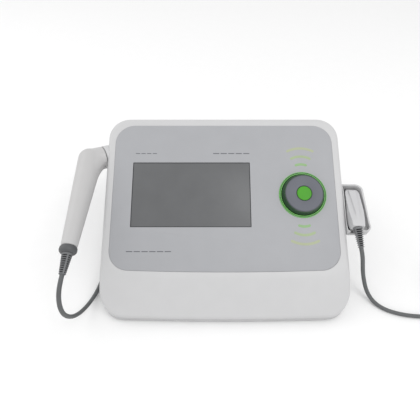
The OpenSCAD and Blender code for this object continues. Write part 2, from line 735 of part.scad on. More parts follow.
module applicator_crystal() place() color([0.85, 0.75, 0.5]) at_applicator()
    translate([0, applicator_len - 16, 0]) disc(applicator_face_d / 2 - 2.5, -9.6, -8.4);

module applicator_strain_relief() place() color([0.3, 0.3, 0.31]) at_app_relief() {
    difference() {
        union() {
            translate([0, 0, 1.6]) ribbed_relief(5.6, 3.6, 2.6, app_relief_len - 1.6);
            disc(4.6, 0.6, 1.7);
        }
        disc(2.6, -5, 40);
    }
}

// ---------------------------------------------------------------- cords

module coil(at, turns) {
    half = (turns + 1) * cord_d / 2;
    translate([at[0], at[1], coil_lift]) rotate_extrude() translate([coil_r - half, 0]) square([2 * half, coil_h]);
}

module tie(at, turns, angle) {
    half = (turns + 1) * cord_d / 2 + 0.4;
    translate([at[0], at[1], 0]) rotate(angle) translate([coil_r, 0, 0]) difference() {
        block([2 * half + 2 * tie_t, tie_w, coil_h + 2 * tie_t + 0.1], [0, 0, coil_h / 2 + tie_t + 0.05]);
        block([2 * half, 10, coil_h + 0.1], [0, 0, coil_h / 2 + coil_lift + 0.05]);
    }
}

module cord_plug() {
    disc(6.2, 0, 17);
    cone(6.2, 4, 17, 21);
    cone(4, 3.1, 21, 34);
    tube(4.5, 3.8, -7, 0.1);
}

module handpiece_cord() place() color([0.4, 0.4, 0.41]) cord_tube(left_route, cord_d, 10);
module handpiece_coil() place() color([0.4, 0.4, 0.41]) coil(left_coil, left_turns);
module handpiece_cord_tail() place() color([0.4, 0.4, 0.41]) cord_tube(left_tail, cord_d, 10);
module handpiece_plug() place() color([0.25, 0.25, 0.26])
    translate([socket_xs[0], rear_y + 3.2, socket_z]) rotate([-90, 0, 0]) cord_plug();
module applicator_cord() place() color([0.4, 0.4, 0.41]) cord_tube(right_route, cord_d, 10);
module applicator_coil() place() color([0.4, 0.4, 0.41]) coil(right_coil, right_turns);
module applicator_cord_tail() place() color([0.4, 0.4, 0.41]) cord_tube(right_tail, cord_d, 10);
module applicator_plug() place() color([0.25, 0.25, 0.26])
    translate([350.8, 13.9, 6.2]) rotate([90, 0, -5.4]) cord_plug();
module coil_ties() place() color([0.15, 0.15, 0.16]) {
    tie(left_coil, left_turns, 20);
    tie(right_coil, right_turns, 110);
}

// ---------------------------------------------------------------- the nodes

upper_cover();
base_tray();
panel_overlay();
screen_window();
lcd_module();
lcd_bracket();
display_board();
display_ribbon();
dial_ring();
dial_body();
dial_face();
dial_cap();
encoder_body();
encoder_nut();
encoder_plunger();
encoder_shaft();
panel_board();
main_board();
buzzer();
driver_board();
driver_heat_sink();
power_supply();
mains_harness();
output_harness();
rear_panel();
mains_inlet();
fuse_drawer();
rocker_frame();
power_rocker();
output_sockets();
socket_nuts();
rubber_feet();
case_screws();
rear_panel_screws();
board_screws();
cradle_screws();
holder_cup();
side_cradle();
handpiece_upper_shell();
handpiece_lower_shell();
treatment_head();
handpiece_crystal();
handpiece_board();
handpiece_boot();
handpiece_strain_relief();
applicator_upper_shell();
applicator_lower_shell();
applicator_head();
applicator_crystal();
applicator_strain_relief();
handpiece_cord();
handpiece_coil();
handpiece_cord_tail();
handpiece_plug();
applicator_cord();
applicator_coil();
applicator_cord_tail();
applicator_plug();
coil_ties();
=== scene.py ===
# Desktop ultrasound therapy device: the detailed visual model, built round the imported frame.
# Shapes are written in millimetres in a local place, such as the operating panel's own plane,
# and that place's matrix turns them into metres in the shared frame.
import json
import math

import bmesh
import bpy
from mathutils import Matrix, Vector


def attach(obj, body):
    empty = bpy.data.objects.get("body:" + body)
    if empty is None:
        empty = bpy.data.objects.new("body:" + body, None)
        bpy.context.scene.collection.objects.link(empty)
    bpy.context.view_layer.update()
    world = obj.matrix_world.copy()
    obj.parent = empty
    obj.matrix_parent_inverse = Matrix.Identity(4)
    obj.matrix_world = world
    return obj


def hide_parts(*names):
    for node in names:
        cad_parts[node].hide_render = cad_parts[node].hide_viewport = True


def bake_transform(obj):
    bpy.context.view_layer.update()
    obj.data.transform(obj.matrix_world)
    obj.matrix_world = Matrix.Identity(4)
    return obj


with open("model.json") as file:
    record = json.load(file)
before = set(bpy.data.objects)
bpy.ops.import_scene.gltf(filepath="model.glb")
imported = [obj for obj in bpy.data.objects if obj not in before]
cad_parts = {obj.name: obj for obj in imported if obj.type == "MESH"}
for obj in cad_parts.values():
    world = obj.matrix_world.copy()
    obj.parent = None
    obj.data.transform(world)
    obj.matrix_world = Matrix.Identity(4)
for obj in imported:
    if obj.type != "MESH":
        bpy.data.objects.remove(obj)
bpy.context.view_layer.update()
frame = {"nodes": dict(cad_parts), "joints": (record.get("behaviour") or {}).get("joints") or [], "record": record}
nodes = frame["nodes"]
joints = {j["name"]: j for j in frame["joints"]}
scene = bpy.context.scene

# ---------------------------------------------------------------- sizes shared with the CAD, mm

PANEL_TILT = 28
REF_Z = 85
BODY_HALF = 155
FRONT_Y, REAR_Y = -113, 118
FRONT_H, SPLIT_H = 14, 10
APRON_V = -81
CORNER_R, EDGE_R, RIDGE_R = 28, 5, 7
FRONT_BOW = 2
WALL_T = 2.6
OVERLAY_T = 1.2
EDGE_SHADE_T = 0.8
OVERLAY_HALF, OVERLAY_V0, OVERLAY_V1, OVERLAY_R = 144.6, -78, 117, 25
SCREEN_X, SCREEN_V, SCREEN_W, SCREEN_H = -42.7, 21.1, 154, 86.5
DIAL_X, DIAL_V, DIAL_R, DIAL_H, RING_R = 101.6, 20.2, 27.2, 8.2, 30.5
BEND_AT, HANDLE_RISE, HEAD_YAW, HEAD_DIP = (-178.4, 69.4, -4), 18.8, 24, 27
HANDLE_R, HANDLE_END_R = 15.5, 9.2
NECK_LEN, RIM_R, RIM_END, HEAD_R = 20, 15.2, 18.3, 11.7
CUP_R, CUP_MOUTH, CUP_END = 12.5, 18.9, 42.3
BOOT_Z, BOOT_LEN, RELIEF_LEN = 125.5, 11, 23
CRADLE_AT, CRADLE_TILT = (165.4, -25.1, 79.7), 6
CRADLE_X0, CRADLE_X1, CRADLE_Y0, CRADLE_Y1 = BODY_HALF - CRADLE_AT[0], 21.3, -1.5, 61.5
CRADLE_Z0, CRADLE_Z1, CRADLE_T, CRADLE_BACK_T, CRADLE_TAPER = -15, 11, 2.4, 1.4, 5.7
APP_LEN, APP_HALF, APP_SKEW = 57.5, 9.5, 3
APP_RELIEF_LEN, APP_RELIEF_DROP, APP_RELIEF_YAW = 24, 22, 5
CORD_D = 5
COIL_R, COIL_LIFT = 30, 1
LEFT_COIL, LEFT_TURNS = (-60, 240), 3.25
RIGHT_COIL, RIGHT_TURNS = (318, -68), 3.5

# ---------------------------------------------------------------- places


def shift(x, y, z):
    return Matrix.Translation((x, y, z))


def turn(axis, degrees):
    return Matrix.Rotation(math.radians(degrees), 4, axis)


# The design's reference point is found from the dial's joint, whose place the frame gives.
DESIGN_PANEL = shift(0, 0, REF_Z) @ turn("X", PANEL_TILT)
dial_at = Vector(joints["dial_turn"]["pos_m"]) * 1000
design_dial = DESIGN_PANEL @ Vector((DIAL_X, DIAL_V, 0))
DEVICE = Matrix.Scale(0.001, 4) @ Matrix.Translation(dial_at - design_dial)
PANEL = DEVICE @ DESIGN_PANEL
DIAL = PANEL @ shift(DIAL_X, DIAL_V, 0)
BEND = PANEL @ shift(*BEND_AT)
HANDLE = BEND @ turn("X", 90 - HANDLE_RISE)
HEAD = BEND @ turn("Z", HEAD_YAW) @ turn("Y", 90 + HEAD_DIP)
CRADLE = DEVICE @ shift(*CRADLE_AT) @ turn("X", CRADLE_TILT)
APPLICATOR = CRADLE @ turn("Z", -APP_SKEW)
APP_RELIEF = CRADLE @ turn("Z", APP_RELIEF_YAW) @ turn("X", 90 + APP_RELIEF_DROP)

# ---------------------------------------------------------------- camera

camera = bpy.data.objects.new("camera", bpy.data.cameras.new("camera"))
camera.data.lens = 27.43
camera.data.sensor_width = 36
camera.location = DEVICE @ Vector((-18.3, -264.6, 398.2))
camera.rotation_euler = (math.radians(40.2), 0, 0)
scene.collection.objects.link(camera)
scene.camera = camera

# ---------------------------------------------------------------- materials


ROUGHNESS_RANGE = 0.05  # how far the roughness wanders each way


def surface(name, color, roughness, grain, depth, tint=0.03, **sockets):
    """A procedural finish: grain is the size of the fine texture and depth its height, in mm.
    tint is how much the colour wanders over some 20 mm."""
    mat = bpy.data.materials.new(name)
    mat.use_nodes = True
    tree = mat.node_tree
    shader = tree.nodes["Principled BSDF"]
    for socket, value in sockets.items():
        shader.inputs[socket.replace("_", " ")].default_value = value
    place = tree.nodes.new("ShaderNodeTexCoord")
    wide = tree.nodes.new("ShaderNodeTexNoise")
    wide.inputs["Scale"].default_value = 45
    wide.inputs["Detail"].default_value = 4
    fine = tree.nodes.new("ShaderNodeTexNoise")
    fine.inputs["Scale"].default_value = 1000 / grain
    fine.inputs["Detail"].default_value = 3
    tree.links.new(place.outputs["Object"], wide.inputs["Vector"])
    tree.links.new(place.outputs["Object"], fine.inputs["Vector"])
    ramp = tree.nodes.new("ShaderNodeValToRGB")
    ramp.color_ramp.elements[0].position = 0.3
    ramp.color_ramp.elements[1].position = 0.7
    ramp.color_ramp.elements[0].color = [c * (1 - tint) for c in color] + [1]
    ramp.color_ramp.elements[1].color = [min(1, c * (1 + tint)) for c in color] + [1]
    tree.links.new(wide.outputs["Fac"], ramp.inputs["Fac"])
    tree.links.new(ramp.outputs["Color"], shader.inputs["Base Color"])
    rough = tree.nodes.new("ShaderNodeMapRange")
    rough.inputs["To Min"].default_value = max(0, roughness - ROUGHNESS_RANGE)
    rough.inputs["To Max"].default_value = min(1, roughness + ROUGHNESS_RANGE)
    tree.links.new(fine.outputs["Fac"], rough.inputs["Value"])
    tree.links.new(rough.outputs["Result"], shader.inputs["Roughness"])
    bump = tree.nodes.new("ShaderNodeBump")
    bump.inputs["Strength"].default_value = 0.6
    bump.inputs["Distance"].default_value = depth / 1000
    tree.links.new(fine.outputs["Fac"], bump.inputs["Height"])
    tree.links.new(bump.outputs["Normal"], shader.inputs["Normal"])
    return mat


WHITE = surface("white_shell", (0.555, 0.555, 0.56), 0.46, 0.35, 0.012, 0.012)
WHITE_BASE = surface("base_shell", (0.48, 0.48, 0.485), 0.5, 0.35, 0.012, 0.012)
PROBE_WHITE = surface("handpiece_white", (0.5, 0.495, 0.495), 0.36, 0.3, 0.006, 0.012)
APP_WHITE = surface("applicator_white", (0.53, 0.53, 0.54), 0.36, 0.3, 0.006, 0.012)
PANEL_GREY = surface("grey_panel", (0.365, 0.37, 0.387), 0.5, 0.25, 0.01, 0.015)
SCREEN = surface("screen_glass", (0.115, 0.118, 0.122), 0.32, 0.2, 0.002, 0.04, Specular_IOR_Level=0.5)
# Near black, for the painted shade round the display window
EDGE_SHADE_BLACK = surface("screen_edge_shade", (0.03, 0.031, 0.034), 0.6, 0.3, 0.01)
RING_GREEN = surface("green_ring", (0.15, 0.5, 0.09), 0.25, 0.4, 0.002, 0.05)
DARK_GREEN = surface("dial_dark", (0.008, 0.045, 0.012), 0.28, 0.4, 0.002, 0.08)
DIAL_GREY = surface("dial_grey", (0.1, 0.105, 0.125), 0.42, 0.15, 0.002, 0.05, Metallic=0.3)
CAP_GREEN = surface("dial_green", (0.062, 0.31, 0.016), 0.45, 0.3, 0.003, 0.05, Specular_IOR_Level=0.3)
PRINT_GREY = surface("print_grey", (0.13, 0.135, 0.15), 0.6, 0.2, 0.002)
HEAD_METAL = surface("head_metal", (0.72, 0.73, 0.74), 0.26, 0.12, 0.003, 0.03, Metallic=1.0)
CRYSTAL = surface("crystal", (0.6, 0.5, 0.3), 0.6, 0.2, 0.005)
COLLAR = surface("collar_grey", (0.082, 0.084, 0.088), 0.48, 0.4, 0.008, 0.05)
RELIEF = surface("relief_rubber", (0.17, 0.173, 0.18), 0.62, 0.3, 0.01, 0.08)
# Near black, for the painted shade in the sleeves' slots
RELIEF_SLOT_SHADE = surface("relief_slot_shade", (0.005, 0.005, 0.006), 0.8, 0.3, 0.01, 0.08, Specular_IOR_Level=0.1)
CORD = surface("cord_grey", (0.105, 0.11, 0.112), 0.55, 0.35, 0.012, 0.08)
PLUG = surface("plug_grey", (0.05, 0.052, 0.056), 0.5, 0.35, 0.012, 0.06)
BLACK = surface("black_plastic", (0.018, 0.018, 0.02), 0.48, 0.35, 0.01, 0.08)
STEEL = surface("steel_sheet", (0.62, 0.62, 0.64), 0.32, 0.2, 0.002, 0.04, Metallic=1.0)
SCREW = surface("screw_steel", (0.55, 0.55, 0.57), 0.35, 0.2, 0.002, 0.06, Metallic=1.0)
BOARD = surface("circuit_board", (0.02, 0.16, 0.07), 0.4, 0.6, 0.01, 0.15)
RIBBON = surface("ribbon_film", (0.7, 0.69, 0.63), 0.35, 0.3, 0.002, 0.04)
PALE = surface("pale_plastic", (0.6, 0.6, 0.55), 0.5, 0.3, 0.004, 0.04)
HEAT_SINK = surface("heat_sink_metal", (0.68, 0.69, 0.7), 0.4, 0.15, 0.004, 0.03, Metallic=1.0)
MAINS_WIRE = surface("mains_wire", (0.3, 0.15, 0.04), 0.5, 0.3, 0.004, 0.06)
SIGNAL_WIRE = surface("signal_wire", (0.1, 0.1, 0.11), 0.5, 0.3, 0.004, 0.06)
REAR_PLATE = surface("rear_plate", (0.5, 0.5, 0.51), 0.55, 0.6, 0.02, 0.03)
# Black rubber of the feet, also used for the painted shade in the cradle's pocket
FOOT_AND_SHADE_BLACK = surface("foot_rubber", (0.035, 0.035, 0.037), 0.75, 0.4, 0.02, 0.1)
LCD_DARK = surface("lcd_dark", (0.05, 0.05, 0.06), 0.4, 0.3, 0.003, 0.05)

BY_SLOT = {
    "white_shell": WHITE, "base_shell": WHITE_BASE, "grey_panel": PANEL_GREY, "screen_glass": SCREEN,
    "lcd_dark": LCD_DARK, "steel_sheet": STEEL, "circuit_board": BOARD, "ribbon_film": RIBBON,
    "green_ring": RING_GREEN, "dial_dark": DARK_GREEN, "dial_grey": DIAL_GREY, "dial_green": CAP_GREEN,
    "black_plastic": BLACK, "pale_plastic": PALE, "heat_sink_metal": HEAT_SINK, "mains_wire": MAINS_WIRE,
    "signal_wire": SIGNAL_WIRE, "rear_plate": REAR_PLATE, "foot_rubber": FOOT_AND_SHADE_BLACK, "screw_steel": SCREW,
    "handpiece_white": PROBE_WHITE, "head_metal": HEAD_METAL, "crystal": CRYSTAL, "collar_grey": COLLAR,
    "relief_rubber": RELIEF, "applicator_white": APP_WHITE, "cord_grey": CORD, "plug_grey": PLUG,
}

# ---------------------------------------------------------------- mesh helpers


def add(name, shape, place, mat, sharp=35):
    """A new object from (points, faces) in a place's millimetres."""
    points, faces = shape
    mesh = bpy.data.meshes.new(name)
    mesh.from_pydata([place @ Vector(p) for p in points], [], faces)
    mesh.validate()
    tidy_normals(mesh)
    obj = bpy.data.objects.new(name, mesh)
    scene.collection.objects.link(obj)
    mesh.materials.append(mat)
    smooth(obj, sharp)
    return obj


def tidy_normals(mesh):
    work = bmesh.new()
    work.from_mesh(mesh)
    bmesh.ops.recalc_face_normals(work, faces=work.faces)
    work.to_mesh(mesh)
    work.free()


def smooth(obj, sharp):
    obj.data.shade_smooth()
    obj.data.set_sharp_from_angle(angle=math.radians(sharp))


def settle(obj):
    """Applies the object's modifiers to its mesh."""
    view = bpy.context.evaluated_depsgraph_get()
    mesh = bpy.data.meshes.new_from_object(obj.evaluated_get(view))
    old = obj.data
    obj.modifiers.clear()
    obj.data = mesh
    bpy.data.meshes.remove(old)


def combine(obj, others, operation="DIFFERENCE"):
    for other in others:
        step = obj.modifiers.new("combine", "BOOLEAN")
        step.operation = operation
        step.object = other
        step.solver = "EXACT"
    settle(obj)
    for other in others:
        bpy.data.objects.remove(other)


def soften(obj, voxel, passes):
    """Remeshes a sharp solid and smooths it, which rounds its edges and fills its inner corners."""
    remesh = obj.modifiers.new("remesh", "REMESH")
    remesh.mode = "VOXEL"
    remesh.voxel_size = voxel / 1000
    relax = obj.modifiers.new("relax", "SMOOTH")
    relax.factor = 0.5
    relax.iterations = passes
    settle(obj)
    obj.data.shade_smooth()
    return obj


def half(obj, name, point, normal, gap):
    """A copy of the part of a closed object on the side of a plane that the normal points to."""
    copy = bpy.data.objects.new(name, obj.data.copy())
    scene.collection.objects.link(copy)
    work = bmesh.new()
    work.from_mesh(copy.data)
    cut = bmesh.ops.bisect_plane(
        work, geom=work.verts[:] + work.edges[:] + work.faces[:], plane_co=point + normal * gap,
        plane_no=normal, clear_inner=True)
    bmesh.ops.holes_fill(work, edges=[e for e in cut["geom_cut"] if isinstance(e, bmesh.types.BMEdge)])
    bmesh.ops.recalc_face_normals(work, faces=work.faces)
    work.to_mesh(copy.data)
    work.free()
    smooth(copy, 35)
    return copy


def loft(rings, closed=False):
    """Quads between rings of equal length, capped. closed joins the last ring to the first instead."""
    n = len(rings[0])
    points = [p for ring in rings for p in ring]
    faces = []
    for i in range(len(rings) if closed else len(rings) - 1):
        low, high = i * n, (i + 1) % len(rings) * n
        faces += [(low + k, low + (k + 1) % n, high + (k + 1) % n, high + k) for k in range(n)]
    if not closed:
        faces.append(tuple(range(n))[::-1])
        faces.append(tuple((len(rings) - 1) * n + k for k in range(n)))
    return points, faces


def lathe(profile, steps=96, closed=False):
    """Turns (radius, z) points round z. closed joins the profile's ends, as for a tube."""
    rings = []
    for k in range(steps):
        a = 2 * math.pi * k / steps
        rings.append([(r * math.cos(a), r * math.sin(a), z) for r, z in profile])
    points = [p for ring in rings for p in ring]
    n = len(profile)
    faces = []
    for k in range(steps):
        for i in range(n if closed else n - 1):
            j = (i + 1) % n
            faces.append((k * n + i, (k + 1) % steps * n + i, (k + 1) % steps * n + j, k * n + j))
    if not closed:
        for i in (0, n - 1):
            if profile[i][0] > 0:
                faces.append(tuple(k * n + i for k in range(steps)))
    return weld(points, faces)


def weld(points, faces):
    """Joins points that are in one place, and drops the faces that vanish with them."""
    index, kept, place = {}, [], []
    for p in points:
        key = tuple(round(c, 5) for c in p)
        if key not in index:
            index[key] = len(kept)
            kept.append(p)
        place.append(index[key])
    merged = []
    for face in faces:
        loop = []
        for v in (place[i] for i in face):
            if v not in loop:
                loop.append(v)
        if len(loop) > 2:
            merged.append(tuple(loop))
    return kept, merged


def rounded(corners, steps=5, closed=False):
    """A path of (x, y, radius) corners, each rounded to its radius."""
    path = []
    count = len(corners)
    for i, (x, y, r) in enumerate(corners):
        inside = closed or 0 < i < count - 1
        if not r or not inside:
            path.append((x, y))
            continue
        here = Vector((x, y))
        before = Vector(corners[i - 1][:2]) - here
        after = Vector(corners[(i + 1) % count][:2]) - here
        corner = before.angle(after)
        reach = min(r / math.tan(corner / 2), before.length * 0.49, after.length * 0.49)
        radius = reach * math.tan(corner / 2)
        inwards = (before.normalized() + after.normalized()).normalized()
        middle = here + inwards * radius / math.sin(corner / 2)
        start = here + before.normalized() * reach - middle
        end = here + after.normalized() * reach - middle
        for k in range(steps + 1):
            out = start.normalized().slerp(end.normalized(), k / steps)
            path.append(tuple(middle + out * radius))
    return path


def box_outline(w, h, r, x=0, y=0, steps=5):
    return rounded([(x - w / 2, y - h / 2, r), (x + w / 2, y - h / 2, r), (x + w / 2, y + h / 2, r),
                    (x - w / 2, y + h / 2, r)], steps, closed=True)


def inset(outline, t):
    """An outline, anticlockwise, moved inwards by t."""
    moved = []
    n = len(outline)
    for i in range(n):
        a, b, c = (Vector(outline[(i + k) % n]) for k in (-1, 0, 1))
        u, v = (b - a).normalized(), (c - b).normalized()
        normal = Vector((-u.y - v.y, u.x + v.x)).normalized()
        lean = max(0.5, normal.dot(Vector((-u.y, u.x))))
        moved.append(tuple(b + normal * t / lean))
    return moved


def slab(outline, z0, z1, edge=0.0, steps=3):
    """A plate of an outline between two heights, with its edges rounded."""
    if not edge:
        return loft([[(x, y, z) for x, y in outline] for z in (z0, z1)])
    rings = []
    for k in range(steps + 1):
        a = math.pi / 2 * k / steps
        rings.append((inset(outline, edge * (1 - math.sin(a))), edge * (1 - math.cos(a))))
    low = [[(x, y, z0 + rise) for x, y in ring] for ring, rise in rings]
    high = [[(x, y, z1 - rise) for x, y in ring] for ring, rise in rings[::-1]]
    return loft(low + high)


def smooth_path(points, spacing):
    """A curve through the points, in steps of about spacing."""
    line = [Vector(p) for p in points]
    curve = []
    for i in range(len(line) - 1):
        a, b = line[i], line[i + 1]
        before = line[i - 1] if i else a * 2 - b
        after = line[i + 2] if i + 2 < len(line) else b * 2 - a
        span = (b - a).length
        t0 = span / (span + (a - before).length)
        t1 = span / (span + (after - b).length)
        slope_a = ((a - before) * t0 / (1 - t0) * t0 + (b - a) * (1 - t0)) if i else b - a
        slope_b = ((after - b) * t1 / (1 - t1) * t1 + (b - a) * (1 - t1)) if i + 2 < len(line) else b - a
        steps = max(1, round(span / spacing))
        for k in range(steps):
            t = k / steps
            curve.append(a * (2 * t**3 - 3 * t**2 + 1) + slope_a * (t**3 - 2 * t**2 + t)
                         + b * (3 * t**2 - 2 * t**3) + slope_b * (t**3 - t**2))
    return curve + [line[-1]]


def sweep(path, radii, sides):
    """A round tube along a path, with a radius for each point and its rings free of twist."""
    rings = []
    side = Vector((0.8, 0.1, 0.6))
    for i, p in enumerate(path):
        ahead = (path[min(i + 1, len(path) - 1)] - path[max(i - 1, 0)]).normalized()
        side = (side - ahead * side.dot(ahead)).normalized()
        other = ahead.cross(side)
        rings.append([tuple(p + radii[i] * (math.cos(a) * side + math.sin(a) * other))
                      for a in (2 * math.pi * k / sides for k in range(sides))])
    return loft(rings)


def ball(r, at, steps=64):
    rows = 32
    angles = [math.pi * k / rows for k in range(rows + 1)]
    profile = [(r * math.sin(a), at[2] - r * math.cos(a)) for a in angles]
    points, faces = lathe(profile, steps)
    return [(x + at[0], y + at[1], z) for x, y, z in points], faces


def block(w, d, h, x, y, z):
    corners = [(x + i * w / 2, y + j * d / 2) for i, j in ((-1, -1), (1, -1), (1, 1), (-1, 1))]
    return loft([[(a, b, z - h / 2) for a, b in corners], [(a, b, z + h / 2) for a, b in corners]])


def piece(obj, body, slot=None, *replaced):
    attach(obj, body)
    if replaced:
        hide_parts(*replaced)


# ---------------------------------------------------------------- cords

LEFT_ROUTE = [
    (-178.5, -99.6, 87.4), (-178.6, -102.5, 86.6), (-179.2, -111, 82), (-179.9, -118, 74),
    (-180.4, -122.2, 64), (-180.5, -123.6, 53), (-180, -122, 42), (-178.9, -117.5, 31),
    (-177.1, -109.5, 20.5), (-174.7, -98.5, 11.8), (-171.9, -86, 5.8), (-169, -73.5, 3),
    (-166.5, -60, 2.6), (-165, -40, 2.6), (-164, -15, 2.6), (-163.5, 15, 2.6),
    (-163.5, 45, 2.6), (-163.5, 75, 2.6), (-163.5, 105, 2.6), (-163, 125, 2.6),
    (-160, 142, 2.6), (-153, 158, 2.6), (-142, 173, 2.6), (-128, 185, 2.6),
    (-111, 194, 2.8), (-93, 199, 3.2), (-76, 201.5, 3.5), (-60, 201.9, 3.5),
]
LEFT_TAIL = [
    (-98.1, 240, 8.5), (-97.6, 228, 8.6), (-95.6, 217, 10), (-92.8, 207, 14),
    (-89.8, 199, 20.5), (-87.4, 191.5, 29), (-85.8, 183, 37.5), (-85, 173, 44.2),
    (-85, 163, 47.4), (-85, 155.4, 48),
]
RIGHT_ROUTE = [
    (167.4, -47.4, 67.8), (167.8, -51.3, 65.5), (168.8, -54.8, 61.6), (170.4, -57, 56),
    (172.4, -58, 49.8), (174.5, -59, 43.2), (176.6, -60.9, 36.3), (178.8, -63.6, 29.4),
    (181, -67.2, 23), (183.2, -71.4, 17.2), (185.8, -76, 12), (189.1, -81, 7.7),
    (193.5, -86.6, 4.5), (199.4, -92.2, 2.9), (207, -97.2, 2.5), (218, -101.6, 2.5),
    (231, -104.6, 2.5), (245, -106.2, 2.5), (262, -106.9, 2.6), (280, -107, 2.9),
    (299, -106.9, 3.3), (318, -106.75, 3.5),
]
RIGHT_TAIL = [
    (356.75, -68, 8.5), (356.6, -56, 8.4), (356, -44, 7.2), (355, -32, 5.8), (354, -20, 5.5),
]


def coil(at, turns, per_turn=36):
    """Inwards along the lower layer, up one diameter at the middle, and outwards on top, anticlockwise."""
    steps = round(turns * per_turn)
    rise = per_turn // 4
    inner = COIL_R - turns * CORD_D / 2
    low, high = COIL_LIFT + CORD_D / 2, COIL_LIFT + 1.5 * CORD_D
    path = []
    for k in range(1, 2 * steps + rise):
        if k <= steps:
            r, z = inner + (steps - k) / per_turn * CORD_D, low
        elif k < steps + rise:
            share = (k - steps) / rise
            r, z = inner, low + CORD_D * share * share * (3 - 2 * share)
        else:
            r, z = inner + (k - steps - rise) / per_turn * CORD_D, high
        a = math.radians(-90 + 360 * k / per_turn)
        path.append((at[0] + r * math.cos(a), at[1] + r * math.sin(a), z))
    return path


def free_cord(name, relief_tip, route, at, turns, tail, probe, hangs_from, lies_from, *cad, with_pieces):
    """A cord from a sleeve's tip along a route, round a coil and on to its plug."""
    line = [relief_tip] + route[1:] + coil(at, turns) + tail
    curve = smooth_path(line, 2.5)
    obj = add(name, sweep(curve, [CORD_D / 2] * len(curve), 20), DEVICE, CORD, 60)
    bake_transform(obj)
    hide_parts(*cad)


inverse = DEVICE.inverted()
left_tip = tuple(inverse @ HANDLE @ Vector((0, 0, BOOT_Z + BOOT_LEN + RELIEF_LEN - 0.4)))
right_tip = tuple(inverse @ APP_RELIEF @ Vector((0, 0, APP_RELIEF_LEN - 0.4)))
free_cord("handpiece_lead", left_tip, LEFT_ROUTE, LEFT_COIL, LEFT_TURNS, LEFT_TAIL, "handpiece",
          (-178.4, -97, 88), (-169, -73.5, 3), "handpiece_cord", "handpiece_coil", "handpiece_cord_tail",
          with_pieces=[nodes["handpiece_plug"], nodes["coil_ties"]])
free_cord("applicator_lead", right_tip, RIGHT_ROUTE, RIGHT_COIL, RIGHT_TURNS, RIGHT_TAIL, "applicator",
          (167.4, -47.4, 67.8), (185.8, -76, 12), "applicator_cord", "applicator_coil",
          "applicator_cord_tail", with_pieces=[nodes["applicator_plug"]])

# ---------------------------------------------------------------- housing

SLOPE = math.tan(math.radians(PANEL_TILT))
APRON_Y = APRON_V * math.cos(math.radians(PANEL_TILT))
APRON_SLOPE = (REF_Z + SLOPE * APRON_Y - FRONT_H) / (APRON_Y - FRONT_Y)
CREASE = 0.5


def top_height(y):
    """Height of the cover's top surface: the panel's plane, and the steeper apron in front of it."""
    panel = REF_Z + SLOPE * y
    apron = FRONT_H + APRON_SLOPE * (y - FRONT_Y)
    return (panel + apron - math.hypot(panel - apron, CREASE)) / 2


def outline_with_normals(half_w, y0, y1, r, bow, straight=24, arc=14):
    """Round-cornered outline, anticlockwise, whose front bows out: (point, outward normal) pairs."""
    rim = []
    for k in range(1, straight):
        s = 2 * k / straight - 1
        at = Vector(((half_w - r) * s, y0 + bow * s * s))
        rim.append((at, Vector((2 * bow * s / (half_w - r), -1)).normalized()))
    for cx, cy, start in ((1, 0, -90), (1, 1, 0), (-1, 1, 90), (-1, 0, 180)):
        centre = Vector((cx * (half_w - r), y1 - r if cy else y0 + bow + r))
        for k in range(arc + 1):
            a = math.radians(start + 90 * k / arc)
            out = Vector((math.cos(a), math.sin(a)))
            rim.append((centre + out * r, out))
        if start < 180:
            here, nxt = rim[-1][0], {
                -90: Vector((half_w, y1 - r)),
                0: Vector((r - half_w, y1)),
                90: Vector((-half_w, y0 + bow + r)),
            }[start]
            for k in range(1, straight):
                rim.append((here.lerp(nxt, k / straight), rim[-1][1]))
    return rim


def housing_cover():
    """The cover's shell: one closed section for each point of its outline, outside first."""
    slack = 0.15
    outer = outline_with_normals(BODY_HALF, FRONT_Y, REAR_Y, CORNER_R, FRONT_BOW)
    opening = outline_with_normals(OVERLAY_HALF + slack, OVERLAY_V0 - slack, OVERLAY_V1 + slack, OVERLAY_R,
                                   FRONT_BOW)
    plane_secant = math.hypot(1, SLOPE)
    sections = []
    for (p, n), (q, _) in zip(outer, opening):
        r = EDGE_R + (RIDGE_R - EDGE_R) * max(0, n.y) ** 2
        at = p - n * r
        lean = (top_height(at.y - n.y) - top_height(at.y + n.y)) / 2
        secant = math.hypot(1, lean)
        z_c = top_height(at.y) - r * secant
        last = 90 + math.degrees(math.atan(lean))
        section = []

        def put(d, z):
            section.append((p.x - n.x * d, p.y - n.y * d, z))

        put(0.35, SPLIT_H)
        put(0.1, SPLIT_H + 0.1)
        put(0, SPLIT_H + 0.4)
        for k in range(1, 3):
            put(0, SPLIT_H + 0.4 + (z_c - SPLIT_H - 0.4) * k / 3)
        for k in range(9):
            a = math.radians(180 + (last - 180) * k / 8)
            put(r + r * math.cos(a), z_c + r * math.sin(a))
        start = Vector(section[-1][:2])
        edge = Vector((q.x, q.y * math.cos(math.radians(PANEL_TILT))))
        inwards = (edge - start).normalized()
        for k in range(1, 7):
            at = start.lerp(edge - inwards * 0.4, k / 6)
            section.append((at.x, at.y, top_height(at.y)))
        at = edge - inwards * 0.12
        section.append((at.x, at.y, top_height(at.y) - 0.1))
        section.append((edge.x, edge.y, top_height(edge.y) - 0.35))
        section.append((edge.x, edge.y, REF_Z + SLOPE * edge.y - (OVERLAY_T + 0.02) * plane_secant))
        ledge = edge + inwards * 9
        floor = REF_Z + SLOPE * ledge.y
        section.append((ledge.x, ledge.y, floor - (OVERLAY_T + 0.02) * plane_secant))
        section.append((ledge.x, ledge.y, floor - (OVERLAY_T + WALL_T) * plane_secant))
        for k in range(3, -1, -1):
            at = start.lerp(edge, k / 3)
            drop = WALL_T + OVERLAY_T * min(1, k / 2)
            section.append((at.x, at.y, top_height(at.y) - drop * secant))
        for k in range(4, -1, -1):
            a = math.radians(180 + (last - 180) * k / 4)
            put(r + (r - WALL_T) * math.cos(a), z_c + (r - WALL_T) * math.sin(a))
        put(WALL_T, SPLIT_H)
        sections.append(section)
    return loft(sections, closed=True)


